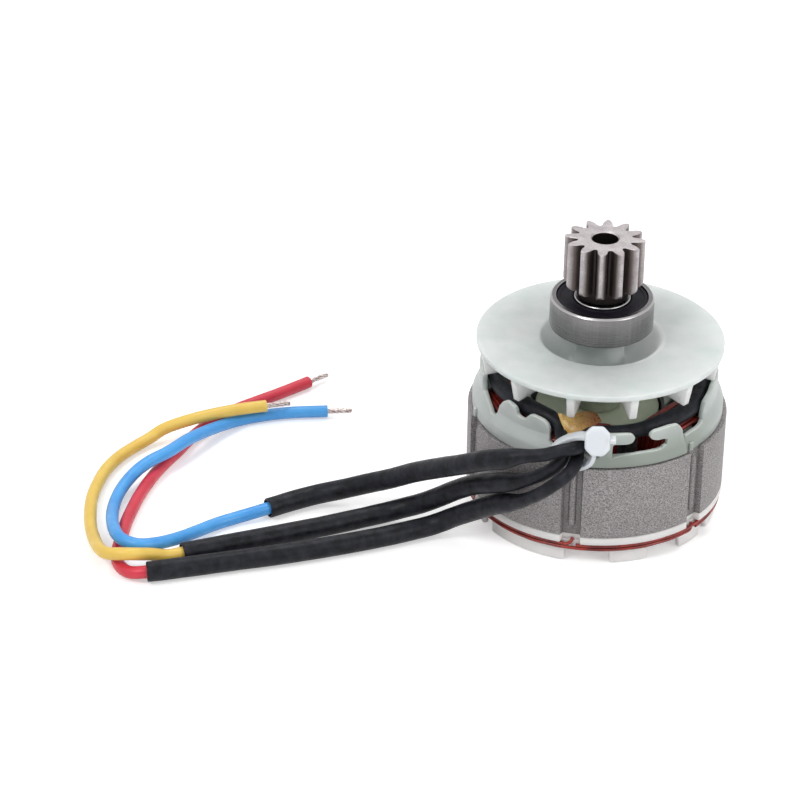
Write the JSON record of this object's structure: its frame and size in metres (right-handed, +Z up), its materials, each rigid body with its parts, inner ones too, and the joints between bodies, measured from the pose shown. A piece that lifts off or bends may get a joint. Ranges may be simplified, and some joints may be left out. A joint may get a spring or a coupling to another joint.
{
  "type": "brushless mower motor",
  "caption": "Inner-rotor brushless motor without housing: welded stator with coils, cooling fan, sealed bearing, toothed pinion and sleeved phase leads.",
  "frame": {"origin": "on the motor's axis, on the surface that the lower insulator's tabs stand on", "axes": "+Z up along the shaft towards the pinion; the leads come out on the -Y side and lie to -X"},
  "size_m": [0.1374, 0.0889, 0.0634],
  "materials": {
    "lamination": "ground lamination steel, fine specks",
    "nylon": "translucent pale nylon",
    "copper": "red-brown enamelled copper wire",
    "tape": "amber insulating tape",
    "steel": "ground bearing steel",
    "sintered": "matt sintered steel",
    "rubber": "dark seal rubber",
    "fan": "milky translucent plastic",
    "magnet": "nickel-plated magnet",
    "plate": "grey-green moulded resin",
    "sleeve": "satin black heat-shrink sleeve",
    "blue": "light blue wire insulation",
    "yellow": "yellow wire insulation",
    "red": "red wire insulation",
    "tin": "tinned copper strands",
    "tie": "white nylon"
  },
  "bodies": {
    "stator": {"lamination_stack": "lamination", "upper_insulator": "nylon", "lower_insulator": "nylon", "coil_1": "copper", "coil_2": "copper", "coil_3": "copper", "coil_4": "copper", "coil_5": "copper", "coil_6": "copper", "crossover_wire_1": "copper", "crossover_wire_2": "copper", "insulating_tape": "tape", "cable_tie": "tie", "inner_lead_blue": "sleeve", "inner_lead_yellow": "sleeve", "inner_lead_red": "sleeve", "sleeve_blue": "sleeve", "sleeve_yellow": "sleeve", "sleeve_red": "sleeve", "wire_blue": "blue", "wire_yellow": "yellow", "wire_red": "red", "tip_blue": "tin", "tip_yellow": "tin", "tip_red": "tin"},
    "rotor": {"shaft": "steel", "rotor_core": "lamination", "magnet_1": "magnet", "magnet_2": "magnet", "magnet_3": "magnet", "magnet_4": "magnet", "rear_balance_plate": "plate", "front_balance_plate": "plate", "shaft_spacer": "steel", "fan": "fan", "pinion": "sintered", "front_inner_ring": "steel", "rear_inner_ring": "steel"},
    "front_outer_race": {"front_outer_ring": "steel", "front_upper_seal": "rubber", "front_lower_seal": "rubber"},
    "front_ball_set": {"front_cage": "nylon", "front_ball_1": "steel", "front_ball_2": "steel", "front_ball_3": "steel", "front_ball_4": "steel", "front_ball_5": "steel", "front_ball_6": "steel", "front_ball_7": "steel"},
    "rear_outer_race": {"rear_outer_ring": "steel", "rear_upper_seal": "rubber", "rear_lower_seal": "rubber"},
    "rear_ball_set": {"rear_cage": "nylon", "rear_ball_1": "steel", "rear_ball_2": "steel", "rear_ball_3": "steel", "rear_ball_4": "steel", "rear_ball_5": "steel", "rear_ball_6": "steel"}
  },
  "joints": [
    {"name": "rotor_spin", "type": "hinge", "parent": "stator", "child": "rotor", "pos_m": [0, 0, 0.015], "axis": [0, 0, 1], "continuous": true},
    {"name": "front_race_spin", "type": "hinge", "parent": "rotor", "child": "front_outer_race", "pos_m": [0, 0, 0.0464], "axis": [0, 0, 1], "continuous": true},
    {"name": "front_ball_spin", "type": "hinge", "parent": "rotor", "child": "front_ball_set", "pos_m": [0, 0, 0.0464], "axis": [0, 0, 1], "continuous": true},
    {"name": "rear_race_spin", "type": "hinge", "parent": "rotor", "child": "rear_outer_race", "pos_m": [0, 0, 0.0036], "axis": [0, 0, 1], "continuous": true},
    {"name": "rear_ball_spin", "type": "hinge", "parent": "rotor", "child": "rear_ball_set", "pos_m": [0, 0, 0.0036], "axis": [0, 0, 1], "continuous": true}
  ],
  "couplings": [
    {"joint": "front_ball_spin", "follows": "front_race_spin", "ratio": 0.632},
    {"joint": "rear_ball_spin", "follows": "rear_race_spin", "ratio": 0.632}
  ]
}
